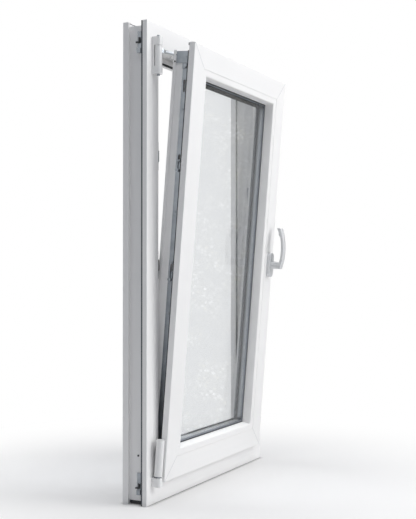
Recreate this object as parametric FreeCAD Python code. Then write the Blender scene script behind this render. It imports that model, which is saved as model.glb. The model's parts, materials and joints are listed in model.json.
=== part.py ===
import FreeCAD
import Part
import math
import os
from collections import namedtuple
from FreeCAD import Placement, Rotation, Vector

# White plastic tilt and turn window, shown tilted in, with its handle up.
# X runs to the right as seen from the room, Y out to the weather, Z up.
# A profile is drawn as (inset, depth): the inset is measured inwards from the outer edge of
# its own rectangle, the depth from the frame's room face, positive towards the weather.

# Outer frame
FRAME_WIDTH = 680.0
FRAME_HEIGHT = 1200.0
FRAME_DEPTH = 70.0
FRAME_FACE = 58.0              # width of the face towards the room
FRAME_LIP = 20.0               # weather lip, past the rebate
LIP_THICKNESS = 18.0
LIP_FALL = 3.0                 # slope of a lip's edge, so that rain runs off
ROOM_FLANGE = 16.5             # flanges beside the groove that faces the wall
WEATHER_FLANGE = 14.0
HOOK_WIDTH = 2.5               # hooked edge of the weather flange, over the groove
HOOK_HEIGHT = 2.0
TAPE_WIDTH = 4.0               # step on the room flange, for a sealing tape
TAPE_DEPTH = 1.5
WALL_GROOVE_DEPTH = 10.0
ANCHOR_SLOT_WIDTH = 5.0        # slot in the groove's floor, for fixing clips
ANCHOR_SLOT_LIP = 2.0
ANCHOR_CHAMBER_WIDTH = 12.0    # wider chamber below that slot
ANCHOR_CHAMBER_DEPTH = 14.0
EDGE_RADIUS = 2.5
SMALL_RADIUS = 1.2

# Sash
SASH_OVERLAP = 6.0             # sash flange over the frame's face
REBATE_GAP = 12.0              # air between sash and frame, for the fittings
FLANGE_GAP = 5.0               # sash flange to the frame's room face, when shut
FLANGE_THICKNESS = 17.0
LIP_GAP = 5.0                  # sash back to the frame's lip, when shut
SASH_FACE = 56.0               # face up to the glazing bead
SASH_LIP_THICKNESS = 12.0
SASH_UPSTAND = 2.5             # low rim along the sash's weather edge
SASH_UPSTAND_WIDTH = 9.0
BEAD_WIDTH = 20.0
BEAD_STEP = 0.6                # bead's face, set back from the sash's face
BEAD_SLOPE = 3.0
BEAD_RADIUS = 4.0

# Double glazing
PANE_THICKNESS = 4.0
PANE_GAP = 16.0
GLASS_EDGE_GAP = 5.0           # edge of the glass to the sash
SPACER_WIDTH = 12.0
GLASS_SEAL = 3.0               # thickness of the seal on each side of the glass
GLASS_SEAL_WIDTH = 11.0
GLASS_SEAL_SHOWN = 3.0         # lip of the seal past the bead

# Weather seals
SEAL_WIDTH = 5.0
SEAL_RADIUS = 1.6
SASH_SEAL_HEIGHT = 3.2
SASH_SEAL_INSET = 1.0
FRAME_SEAL_HEIGHT = 4.0
FRAME_SEAL_INSET = 2.0

# Fittings in the sash's edge
STRIP_WIDTH = 16.0
STRIP_THICKNESS = 3.0
STRIP_SETBACK = 8.0            # from the back of the sash flange
STRIP_END = 22.0               # end of a strip to the corner of the sash
DRIVE_SLOT = 93.0              # slot of a corner drive, from the sash's upper corner
DRIVE_SLOT_LENGTH = 24.0
FITTING_GROOVE_WIDTH = 12.0
FITTING_GROOVE_DEPTH = 8.0
CAM_HEAD_RADIUS = 4.5
CAM_HEAD_HEIGHT = 4.0
CAM_STEM_RADIUS = 3.0
CAM_REACH = 9.0                # top of a cam over its strip
CAM_TRAVEL = 36.0
CAM_FOOT_LENGTH = 40.0
CAM_FOOT_WIDTH = 10.0
CAM_FOOT_THICKNESS = 2.5
SLOT_CLEARANCE = 0.4
FOOT_CLEARANCE = 0.3

# Keeps on the frame, at the places where the cams lock
KEEP_LENGTH = 70.0
KEEP_WIDTH = 19.0
KEEP_THICKNESS = 1.5
KEEP_RIB_LENGTH = 28.0
KEEP_RIB_WIDTH = 4.0
KEEP_RIB_HEIGHT = 5.0          # over the frame's rebate
KEEP_SETBACK = 1.5             # from the frame's room face
LEFT_KEEP = 268.0              # keeps from the middle of the sash's side
MIDDLE_KEEP = -7.0
RIGHT_KEEPS = (200.0, -220.0)
TOP_KEEP = 76.0                # keep at the head, from the sash's free corner

# Hinge side
TILT_ANGLE = 4.6
HINGE_EDGE = 18.0              # hinge line to the sash's edge
HINGE_STANDOFF = 13.0          # hinge line to the frame's room face
TILT_HEIGHT = 22.0             # tilt line over the sash's lower edge
REST_RADIUS = 10.0
REST_HEIGHT = 22.0
REST_STEP = 1.5                # shoulder of the rest, beside the pin
REST_STEP_DEPTH = 5.0
REST_GAP = 8.0                 # top of the pivot rest to the tilt line
HINGE_PIN_RADIUS = 4.0
HINGE_PIN_DEPTH = 18.0
HINGE_COLLAR_RADIUS = 7.0
HINGE_COLLAR_HEIGHT = 2.2
HINGE_NECK_RADIUS = 3.0
TRUNNION_RADIUS = 3.5
TRUNNION_LENGTH = 14.0
TRUNNION_CLEARANCE = 0.1
PIN_CLEARANCE = 0.05
SEAT_GAP = 0.3
BAND_DEPTH = 11.0
BAND_FORK_WIDTH = 8.4
BAND_SKIRT = 3.5               # below the tilt line
BARREL_RADIUS = 10.2
BARREL_WALL = 0.9
BARREL_HEIGHT = 90.0
BARREL_SKIRT = 4.0
BARREL_CAP = 2.0
LEAF_THICKNESS = 2.0
LEAF_START = 12.0              # lower edge of the leaf over the tilt line
LEAF_HEIGHT = 58.0
LEAF_REACH = 27.0              # leaf along the sash's edge, from the flange
NOTCH_MARGIN = 1.0

# Stay at the top of the hinge side
STAY_LENGTH = 330.0
STAY_LIFT = 5.5                # arm over the top fitting strip
STAY_THICKNESS = 2.5
STAY_WIDTH = 14.0
STAY_EYE_RADIUS = 7.0
STAY_EYE_BELOW = 46.5          # eye, below and above the arm's underside
STAY_EYE_ABOVE = 5.5
STAY_COVER_RADIUS = 9.2        # white sleeve round the eye
STAY_WEB_BELOW = 6.5
STAY_WEB_ABOVE = 4.5
STAY_WEB_THICKNESS = 2.0
STAY_WEB_GAP = 1.5             # web to the frame's face, when shut
STAY_REBATE_CLEARANCE = 2.5    # arm to the frame's rebate
STAY_PIN_RADIUS = 3.5
STAY_PIN_HEAD_RADIUS = 4.4
STAY_PIN_HEAD = 4.0
BEARING_RADIUS = 10.0
BEARING_BELOW = 66.0           # bearing, below and above the arm's underside
BEARING_ABOVE = 27.0
BEARING_PLATE = 3.0
BEARING_PLATE_WIDTH = 12.0
BEARING_WALL = 2.2             # wall of the bearing beside the eye
BEARING_WALL_DEPTH = 6.0
RIVET_RADIUS = 3.0
RIVET_HEAD_RADIUS = 6.5
RIVET_HEAD = 2.2
RIVET_REACH = 5.0              # rivet below the strip's outer face
RIVET_CLEARANCE = 0.8
RIVET_SLOT_LENGTH = 22.0

# Handle
HANDLE_INSET = 28.0            # from the sash's edge
ROSETTE_WIDTH = 30.0
ROSETTE_HEIGHT = 70.0
ROSETTE_THICKNESS = 11.0
ROSETTE_RADIUS = 13.0
ROSETTE_BORE = 5.0
NECK_RADIUS = 9.0
NECK_CLEARANCE = 0.1
LEVER_STANDOFF = 35.0          # inner side of the lever's foot to the sash's face
LEVER_BOW = 7.0                # how much further out its middle stands
LEVER_CURL = 4.0               # how much nearer its tip comes
LEVER_LENGTH = 112.0
LEVER_FOOT = 10.0              # lever below the neck's axis
LEVER_THICKNESS = 9.0
LEVER_WIDTH = 20.0
LEVER_EDGE = 2.5

# Small pieces on the outside of the frame
DRAIN_CAP_LENGTH = 42.0
DRAIN_CAP_HEIGHT = 18.0
DRAIN_CAP_DEPTH = 6.0
DRAIN_CAP_EDGE = 2.0
DRAIN_CAP_LEVEL = 24.0
DRAIN_CAP_SPACING = 400.0
DRAIN_SLOT_LENGTH = 28.0       # slots in the sill's rebate, above the hoods
DRAIN_SLOT_WIDTH = 5.0
DRAIN_SLOT_DEPTH = 12.0
DRAIN_SLOT_SETBACK = 4.0
ANCHOR_WIDTH = 10.0
ANCHOR_LENGTH = 54.0
ANCHOR_THICKNESS = 2.5
ANCHOR_LUG_LENGTH = 12.0
ANCHOR_LUG_HEIGHT = 6.0
ANCHOR_HOLE_RADIUS = 2.6
ANCHOR_FROM_END = 25.0

# Places that follow from these sizes
Rect = namedtuple("Rect", "left right bottom top")
SIDES = ("left", "right", "top", "bottom")
ROOM_FACE = -ROOM_FLANGE / 2
LIP_FACE = FRAME_DEPTH - LIP_THICKNESS
FRAME_REACH = FRAME_FACE + FRAME_LIP
SASH_EDGE = FRAME_FACE - SASH_OVERLAP
SASH_BODY = SASH_OVERLAP + REBATE_GAP
SASH_REACH = SASH_FACE + BEAD_WIDTH
FLANGE_BACK = -FLANGE_GAP
SASH_FRONT = FLANGE_BACK - FLANGE_THICKNESS
SASH_BACK = LIP_FACE - LIP_GAP
SASH_LIP_FACE = SASH_BACK - SASH_LIP_THICKNESS
GLASS_BACK = SASH_LIP_FACE - GLASS_SEAL
GLASS_FRONT = GLASS_BACK - PANE_GAP - 2 * PANE_THICKNESS
BEAD_BACK = GLASS_FRONT - GLASS_SEAL
STRIP_FRONT = FLANGE_BACK + STRIP_SETBACK
STRIP_BACK = STRIP_FRONT + STRIP_WIDTH
STRIP_MIDDLE = (STRIP_FRONT + STRIP_BACK) / 2
STRIP_SEAT = SASH_BODY + STRIP_THICKNESS
FRAME = Rect(-FRAME_WIDTH / 2, FRAME_WIDTH / 2, 0.0, FRAME_HEIGHT)
SASH = Rect(FRAME.left + SASH_EDGE, FRAME.right - SASH_EDGE, SASH_EDGE, FRAME.top - SASH_EDGE)
SASH_MIDDLE = (SASH.bottom + SASH.top) / 2
HINGE_INSET = SASH_EDGE - HINGE_EDGE
HINGE_X = FRAME.left + HINGE_INSET
HINGE_Y = ROOM_FACE - HINGE_STANDOFF
TILT_Z = SASH.bottom + TILT_HEIGHT
STAY_Z = SASH.top - SASH_BODY + STAY_LIFT
STAY_EYE_BOTTOM = STAY_Z - STAY_EYE_BELOW
STAY_EYE_TOP = STAY_Z + STAY_EYE_ABOVE


def rounded_outline(points):
    """Closed face through (x, y) corners; a third number in a corner rounds it."""
    corners = [Vector(p[0], p[1], 0) for p in points]
    spans = []
    for i, point in enumerate(points):
        here = corners[i]
        if len(point) < 3:
            spans.append((here, None, here))
            continue
        radius = point[2]
        back = (corners[i - 1] - here).normalize()
        on = (corners[(i + 1) % len(corners)] - here).normalize()
        half = back.getAngle(on) / 2
        inward = (back + on).normalize()
        middle = here + inward * (radius / math.sin(half) - radius)
        reach = radius / math.tan(half)
        spans.append((here + back * reach, middle, here + on * reach))
    edges = []
    for i, (start, middle, end) in enumerate(spans):
        if middle is not None:
            edges.append(Part.Arc(start, middle, end).toShape())
        edges.append(Part.LineSegment(end, spans[(i + 1) % len(spans)][0]).toShape())
    return Part.Face(Part.Wire(edges))


def one_piece(shape):
    """The single solid of a result, or its solids as one compound."""
    solids = shape.Solids
    return solids[0] if len(solids) == 1 else Part.makeCompound(solids)


def side_length(side, rect):
    """Length of one side of a rectangle."""
    return rect.top - rect.bottom if side in ("left", "right") else rect.right - rect.left


def on_side(shape, side, rect):
    """Puts a shape drawn as (inset, depth, run) on one side; runs go clockwise round the room side."""
    starts = {"left": (rect.left, rect.bottom, 0), "top": (rect.left, rect.top, 90),
              "right": (rect.right, rect.top, 180), "bottom": (rect.right, rect.bottom, -90)}
    x, z, turn = starts[side]
    placed = shape.copy()
    placed.Placement = Placement(Vector(x, ROOM_FACE, z), Rotation(Vector(0, 1, 0), turn))
    return placed


def mitred_bar(points, side, rect):
    """One side of a mitred ring, with the profile that the points give."""
    length = side_length(side, rect)
    insets = [p[0] for p in points]
    depths = [p[1] for p in points]
    low, high = min(insets), max(insets)
    corners = [(low, low), (high, high), (high, length - high), (low, length - low), (low, low)]
    wedge = Part.Face(Part.makePolygon([Vector(u, min(depths), s) for u, s in corners]))
    wedge = wedge.extrude(Vector(0, max(depths) - min(depths), 0))
    bar = rounded_outline(points).extrude(Vector(0, 0, length))
    return on_side(one_piece(bar.common(wedge)), side, rect)


def ring(points, rect):
    """A closed ring of one section, such as a seal."""
    bars = [mitred_bar(points, side, rect) for side in SIDES]
    return one_piece(bars[0].multiFuse(bars[1:]).removeSplitter())


def box(low, high):
    """A box between two corners."""
    size = [b - a for a, b in zip(low, high)]
    return Part.makeBox(*size, Vector(*low))


def plan_prism(points, bottom, top):
    """An upright prism whose plan is drawn as (inset from the frame's left edge, depth)."""
    prism = rounded_outline(points).extrude(Vector(0, 0, top - bottom))
    prism.translate(Vector(FRAME.left, ROOM_FACE, bottom))
    return prism


def upright(radius, bottom, top):
    """A cylinder on the hinge line."""
    return Part.makeCylinder(radius, top - bottom, Vector(HINGE_X, HINGE_Y, bottom))


def tilted(shape):
    """A sash piece, drawn shut, turned in to its tilted place."""
    turned = shape.copy()
    turned.rotate(Vector(0, HINGE_Y, TILT_Z), Vector(1, 0, 0), TILT_ANGLE)
    return turned


def frame_profile():
    """Section of the outer frame: face, rebate, weather lip and the groove towards the wall."""
    slot_end = ROOM_FLANGE + ANCHOR_SLOT_WIDTH
    chamber_end = ROOM_FLANGE + ANCHOR_CHAMBER_WIDTH
    chamber_top = WALL_GROOVE_DEPTH + ANCHOR_SLOT_LIP
    chamber_floor = chamber_top + ANCHOR_CHAMBER_DEPTH
    groove_end = FRAME_DEPTH - WEATHER_FLANGE
    hook_end = groove_end - HOOK_WIDTH
    return [(0, 0, SMALL_RADIUS), (FRAME_FACE, 0, EDGE_RADIUS), (FRAME_FACE, LIP_FACE),
            (FRAME_REACH, LIP_FACE, SMALL_RADIUS), (FRAME_REACH - LIP_FALL, FRAME_DEPTH, EDGE_RADIUS),
            (0, FRAME_DEPTH, SMALL_RADIUS), (0, hook_end), (HOOK_HEIGHT, hook_end),
            (HOOK_HEIGHT, groove_end), (WALL_GROOVE_DEPTH, groove_end), (WALL_GROOVE_DEPTH, slot_end),
            (chamber_top, slot_end), (chamber_top, chamber_end), (chamber_floor, chamber_end),
            (chamber_floor, ROOM_FLANGE), (TAPE_DEPTH, ROOM_FLANGE), (TAPE_DEPTH, ROOM_FLANGE - TAPE_WIDTH),
            (0, ROOM_FLANGE - TAPE_WIDTH)]


def sash_profile():
    """Section of the sash: flange, glazing rebate and the groove for the fittings."""
    rim = SASH_BODY - SASH_UPSTAND
    rim_front = SASH_BACK - SASH_UPSTAND_WIDTH
    groove_front = STRIP_MIDDLE - FITTING_GROOVE_WIDTH / 2
    groove_back = STRIP_MIDDLE + FITTING_GROOVE_WIDTH / 2
    groove_floor = STRIP_SEAT + FITTING_GROOVE_DEPTH
    return [(0, SASH_FRONT, EDGE_RADIUS), (SASH_FACE, SASH_FRONT), (SASH_FACE, SASH_LIP_FACE),
            (SASH_REACH, SASH_LIP_FACE, SMALL_RADIUS), (SASH_REACH - LIP_FALL, SASH_BACK, EDGE_RADIUS),
            (rim, SASH_BACK, SMALL_RADIUS), (rim, rim_front), (SASH_BODY, rim_front),
            (SASH_BODY, STRIP_BACK), (STRIP_SEAT, STRIP_BACK), (STRIP_SEAT, groove_back),
            (groove_floor, groove_back), (groove_floor, groove_front), (STRIP_SEAT, groove_front),
            (STRIP_SEAT, STRIP_FRONT), (SASH_BODY, STRIP_FRONT), (SASH_BODY, FLANGE_BACK),
            (0, FLANGE_BACK, SMALL_RADIUS)]


def bead_profile():
    """Section of a glazing bead."""
    front = SASH_FRONT + BEAD_STEP
    return [(SASH_FACE, front, SMALL_RADIUS), (SASH_REACH - BEAD_SLOPE, front, BEAD_RADIUS),
            (SASH_REACH, BEAD_BACK), (SASH_FACE, BEAD_BACK)]


def bulb(inset, base, tip):
    """Section of a weather seal that stands from base to tip."""
    end = inset + SEAL_WIDTH
    return [(inset, base), (end, base), (end, tip, SEAL_RADIUS), (inset, tip, SEAL_RADIUS)]


def block(inset, end, front, back):
    """A plain rectangular section."""
    return [(inset, front), (end, front), (end, back), (inset, back)]


def frame_pieces():
    """Four welded bars of the outer frame, and the seal on its lip."""
    names = {"left": "frame_left_jamb", "right": "frame_right_jamb",
             "top": "frame_head", "bottom": "frame_sill"}
    pieces = {names[side]: mitred_bar(frame_profile(), side, FRAME) for side in SIDES}
    back = ROOM_FACE + LIP_FACE - DRAIN_SLOT_SETBACK
    for x in drain_places():
        half = DRAIN_SLOT_LENGTH / 2
        drain = box((x - half, back - DRAIN_SLOT_WIDTH, FRAME_FACE - DRAIN_SLOT_DEPTH),
                    (x + half, back, FRAME_FACE))
        pieces["frame_sill"] = pieces["frame_sill"].cut(drain)
    pieces["frame_sill"] = one_piece(pieces["frame_sill"])
    seal_start = FRAME_REACH - FRAME_SEAL_INSET - SEAL_WIDTH
    pieces["frame_gasket"] = ring(bulb(seal_start, LIP_FACE, LIP_FACE - FRAME_SEAL_HEIGHT), FRAME)
    return pieces


def drain_places():
    """Where the sill drains, along its length."""
    return -DRAIN_CAP_SPACING / 2, DRAIN_CAP_SPACING / 2


def sash_pieces():
    """Four welded bars of the sash with their beads, and the seal on the flange."""
    names = {"left": "sash_left_stile", "right": "sash_right_stile",
             "top": "sash_top_rail", "bottom": "sash_bottom_rail"}
    pieces = {names[side]: mitred_bar(sash_profile(), side, SASH) for side in SIDES}
    for side in SIDES:
        pieces["glazing_bead_" + side] = mitred_bar(bead_profile(), side, SASH)
    seal = ring(bulb(SASH_SEAL_INSET, FLANGE_BACK, FLANGE_BACK + SASH_SEAL_HEIGHT), SASH)
    notch_end = SASH.left + SASH_BODY
    low_y, high_y = ROOM_FACE + FLANGE_BACK, ROOM_FACE
    leaf_low = TILT_Z + LEAF_START - NOTCH_MARGIN
    leaf_high = TILT_Z + LEAF_START + LEAF_HEIGHT + NOTCH_MARGIN
    web_low = STAY_Z - STAY_WEB_BELOW - NOTCH_MARGIN
    web_high = STAY_Z + STAY_WEB_ABOVE + NOTCH_MARGIN
    for low, high in ((leaf_low, leaf_high), (web_low, web_high)):
        seal = seal.cut(box((SASH.left, low_y, low), (notch_end, high_y, high)))
    pieces["sash_gasket"] = one_piece(seal)
    return pieces


def glass_pieces():
    """Two panes, the spacer between them and the seals that grip them."""
    inset = SASH_FACE + GLASS_EDGE_GAP
    fronts = {"glass_inner_pane": GLASS_FRONT, "glass_outer_pane": GLASS_BACK - PANE_THICKNESS}
    pieces = {}
    for name, front in fronts.items():
        y = ROOM_FACE + front
        pieces[name] = box((SASH.left + inset, y, SASH.bottom + inset),
                           (SASH.right - inset, y + PANE_THICKNESS, SASH.top - inset))
    spacer_front = GLASS_FRONT + PANE_THICKNESS
    spacer = block(inset, inset + SPACER_WIDTH, spacer_front, spacer_front + PANE_GAP)
    pieces["glass_spacer"] = ring(spacer, SASH)
    seal_end = SASH_REACH + GLASS_SEAL_SHOWN
    seal_start = seal_end - GLASS_SEAL_WIDTH
    pieces["glass_inner_gasket"] = ring(block(seal_start, seal_end, BEAD_BACK, GLASS_FRONT), SASH)
    pieces["glass_outer_gasket"] = ring(block(seal_start, seal_end, GLASS_BACK, SASH_LIP_FACE), SASH)
    return pieces


def keep_runs():
    """Where the cams lock, as runs along each side of the sash."""
    half_height = (SASH.top - SASH.bottom) / 2
    return {"left": [half_height + LEFT_KEEP, half_height + MIDDLE_KEEP],
            "right": [half_height - offset for offset in RIGHT_KEEPS],
            "top": [side_length("top", SASH) - TOP_KEEP], "bottom": []}


def slot_cutter(start, end, half_width):
    """A round-ended slot through a fitting strip, from one run to another."""
    low, high = SASH_BODY - STRIP_THICKNESS, STRIP_SEAT + STRIP_THICKNESS
    cutter = box((low, STRIP_MIDDLE - half_width, start), (high, STRIP_MIDDLE + half_width, end))
    for run in (start, end):
        centre = Vector(low, STRIP_MIDDLE, run)
        cutter = cutter.fuse(Part.makeCylinder(half_width, high - low, centre, Vector(1, 0, 0)))
    return cutter


def stay_run():
    """Run of the stay's rivet along the top strip, when shut and when tilted."""
    shut = HINGE_X + STAY_LENGTH - SASH.left
    reach = STRIP_MIDDLE + HINGE_STANDOFF
    turn = math.radians(stay_swing())
    moved = STAY_LENGTH * (math.cos(turn) - 1) + reach * math.sin(turn)
    return shut, shut + moved


def stay_swing():
    """Angle through which the stay swings out as the sash tilts."""
    reach = STRIP_MIDDLE + HINGE_STANDOFF
    tilt = math.radians(TILT_ANGLE)
    rise = SASH.top - SASH_BODY - STRIP_THICKNESS / 2 - TILT_Z
    sash_point = reach * math.cos(tilt) - rise * math.sin(tilt)
    arm = math.hypot(STAY_LENGTH, reach)
    return math.degrees(math.asin(reach / arm) - math.asin(sash_point / arm))


def fitting_strips():
    """Face strips of the sash's fittings, slotted for the cams and the stay."""
    pieces = {}
    runs = keep_runs()
    half_slot = CAM_STEM_RADIUS + SLOT_CLEARANCE
    for side in SIDES:
        length = side_length(side, SASH)
        strip = box((SASH_BODY, STRIP_FRONT, STRIP_END), (STRIP_SEAT, STRIP_BACK, length - STRIP_END))
        slots = [(run - CAM_TRAVEL, run) for run in runs[side]]
        if side == "left":
            slots.append((length - DRIVE_SLOT - DRIVE_SLOT_LENGTH, length - DRIVE_SLOT))
        if side == "right":
            slots.append((DRIVE_SLOT, DRIVE_SLOT + DRIVE_SLOT_LENGTH))
        for start, end in slots:
            strip = strip.cut(slot_cutter(start, end, half_slot))
        if side == "top":
            middle = sum(stay_run()) / 2
            half = RIVET_SLOT_LENGTH / 2
            cutter = slot_cutter(middle - half, middle + half, RIVET_RADIUS + RIVET_CLEARANCE)
            strip = strip.cut(cutter)
        pieces["fitting_strip_" + side] = on_side(one_piece(strip), side, SASH)
    return pieces


def locking_cam(run):
    """A mushroom cam on its sliding foot, at the unlocked end of its travel."""
    start = run - CAM_TRAVEL
    foot_top = STRIP_SEAT + FOOT_CLEARANCE
    half_width, half_length = CAM_FOOT_WIDTH / 2, CAM_FOOT_LENGTH / 2
    cam = box((foot_top, STRIP_MIDDLE - half_width, start - half_length),
              (foot_top + CAM_FOOT_THICKNESS, STRIP_MIDDLE + half_width, start + half_length))
    tip = Vector(SASH_BODY - CAM_REACH, STRIP_MIDDLE, start)
    outward = Vector(1, 0, 0)
    cam = cam.fuse(Part.makeCylinder(CAM_STEM_RADIUS, foot_top - tip.x, tip, outward))
    cam = cam.fuse(Part.makeCylinder(CAM_HEAD_RADIUS, CAM_HEAD_HEIGHT, tip, outward))
    return one_piece(cam.removeSplitter())


def locking_cams():
    """The cams of each side, which slide together."""
    pieces = {}
    for side, runs in keep_runs().items():
        if runs:
            cams = Part.makeCompound([locking_cam(run) for run in runs])
            pieces["locking_cams_" + side] = on_side(cams, side, SASH)
    return pieces


def keep(run):
    """A keep: a plate in the frame's rebate with a rib that holds the cam."""
    inset, front = FRAME_FACE, KEEP_SETBACK
    plate = box((inset, front, run - KEEP_LENGTH / 2),
                (inset + KEEP_THICKNESS, front + KEEP_WIDTH, run + KEEP_LENGTH / 2))
    rib = box((inset, front, run - KEEP_RIB_LENGTH / 2),
              (inset + KEEP_RIB_HEIGHT, front + KEEP_RIB_WIDTH, run + KEEP_RIB_LENGTH / 2))
    return one_piece(plate.fuse(rib).removeSplitter())


def keeps():
    """Keeps on the frame, with the dark one at the middle of the hinge side apart."""
    runs = keep_runs()
    plates = []
    for side in SIDES:
        for run in runs[side]:
            plates.append(on_side(keep(run + SASH_EDGE), side, FRAME))
    middle = plates.pop(1)
    return {"keep_plates": Part.makeCompound(plates), "middle_keep": middle}


def d_plan(radius):
    """Plan of a hinge piece: flat against the frame's face, round about the hinge line."""
    front = -HINGE_STANDOFF - radius
    rounding = 0.9 * radius
    return [(HINGE_INSET - radius, 0), (HINGE_INSET + radius, 0),
            (HINGE_INSET + radius, front, rounding), (HINGE_INSET - radius, front, rounding)]


def corner_hinge():
    """Pivot rest on the frame, the pin that turns in it, and the band and barrel on the sash."""
    rest_top = TILT_Z - REST_GAP
    pin_bottom = rest_top - HINGE_PIN_DEPTH
    rest_bottom = rest_top - REST_HEIGHT
    rest = plan_prism(d_plan(REST_RADIUS), rest_bottom, rest_top)
    step = block(HINGE_INSET - REST_RADIUS, HINGE_INSET + REST_RADIUS, -REST_STEP_DEPTH, 0)
    rest = rest.fuse(plan_prism(step, rest_bottom, rest_top + REST_STEP)).removeSplitter()
    rest = rest.cut(upright(HINGE_PIN_RADIUS + PIN_CLEARANCE, pin_bottom - SEAT_GAP, rest_top))

    collar_bottom = rest_top + SEAT_GAP
    collar_top = collar_bottom + HINGE_COLLAR_HEIGHT
    centre = Vector(HINGE_X - TRUNNION_LENGTH / 2, HINGE_Y, TILT_Z)
    along = Vector(1, 0, 0)
    pin = upright(HINGE_PIN_RADIUS, pin_bottom, collar_bottom)
    pin = pin.fuse(upright(HINGE_COLLAR_RADIUS, collar_bottom, collar_top))
    pin = pin.fuse(upright(HINGE_NECK_RADIUS, collar_top, TILT_Z))
    pin = pin.fuse(Part.makeCylinder(TRUNNION_RADIUS, TRUNNION_LENGTH, centre, along))

    top = TILT_Z + BARREL_HEIGHT - BARREL_SKIRT
    half = TRUNNION_LENGTH / 2
    band = box((HINGE_X - half, HINGE_Y - BAND_DEPTH / 2, TILT_Z - BAND_SKIRT),
               (HINGE_X + half, HINGE_Y + BAND_DEPTH / 2, top - BARREL_CAP - SEAT_GAP))
    bore = TRUNNION_RADIUS + TRUNNION_CLEARANCE
    band = band.cut(Part.makeCylinder(bore, TRUNNION_LENGTH, centre, along))
    fork = BAND_FORK_WIDTH / 2
    band = band.cut(box((HINGE_X - fork, HINGE_Y - BAND_DEPTH, TILT_Z - BAND_DEPTH),
                        (HINGE_X + fork, HINGE_Y + BAND_DEPTH, TILT_Z + bore)))
    leaf_low = TILT_Z + LEAF_START
    leaf_high = leaf_low + LEAF_HEIGHT
    leaf = plan_prism(leaf_plan(0), leaf_low, leaf_high)
    band = band.fuse(leaf).removeSplitter()

    barrel = upright(BARREL_RADIUS, TILT_Z - BARREL_SKIRT, top)
    barrel = barrel.cut(upright(BARREL_RADIUS - BARREL_WALL, TILT_Z - BARREL_SKIRT, top - BARREL_CAP))
    barrel = barrel.cut(plan_prism(leaf_plan(SEAT_GAP), leaf_low - SEAT_GAP, leaf_high + SEAT_GAP))
    return {"corner_pivot_rest": one_piece(rest), "corner_hinge_pin": one_piece(pin.removeSplitter()),
            "corner_hinge_band": one_piece(band), "corner_hinge_cover": one_piece(barrel)}


def leaf_plan(margin):
    """Plan of the band's leaf, from the hinge line round the sash flange to the sash's edge."""
    edge = SASH_EDGE
    start = HINGE_INSET + TRUNNION_LENGTH / 4
    inside = -HINGE_STANDOFF + BAND_DEPTH / 4
    back = FLANGE_BACK + LEAF_THICKNESS
    body = SASH_EDGE + SASH_BODY
    return [(start - margin, inside - margin), (start + 2 * LEAF_THICKNESS + margin, inside - margin),
            (edge - LEAF_THICKNESS + margin, FLANGE_BACK - margin), (body, FLANGE_BACK - margin),
            (body, FLANGE_BACK + LEAF_REACH), (body - LEAF_THICKNESS, FLANGE_BACK + LEAF_REACH),
            (body - LEAF_THICKNESS, back + margin), (edge - 2 * LEAF_THICKNESS - margin, back + margin),
            (start - margin, inside + LEAF_THICKNESS + margin)]


def stay_bearing():
    """Bearing of the stay on the frame, in two knuckles on one plate, with its headed pin."""
    bottom, top = STAY_Z - BEARING_BELOW, STAY_Z + BEARING_ABOVE
    bearing = plan_prism(d_plan(BEARING_RADIUS), bottom, STAY_EYE_BOTTOM - SEAT_GAP)
    bearing = bearing.fuse(plan_prism(d_plan(BEARING_RADIUS), STAY_EYE_TOP + SEAT_GAP, top))
    start = HINGE_INSET - BEARING_RADIUS
    end = start + BEARING_PLATE_WIDTH
    wall = start + BEARING_WALL
    plate = [(start, -BEARING_WALL_DEPTH), (wall, -BEARING_WALL_DEPTH), (wall, -BEARING_PLATE),
             (end, -BEARING_PLATE), (end, 0), (start, 0)]
    bearing = bearing.fuse(plan_prism(plate, bottom, top))
    bearing = bearing.cut(upright(STAY_PIN_RADIUS + PIN_CLEARANCE, bottom, top))
    pin = upright(STAY_PIN_RADIUS, bottom - STAY_PIN_HEAD, top)
    pin = pin.fuse(upright(STAY_PIN_HEAD_RADIUS, top, top + STAY_PIN_HEAD))
    return {"stay_bearing": one_piece(bearing.removeSplitter()), "stay_pin": one_piece(pin)}


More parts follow.
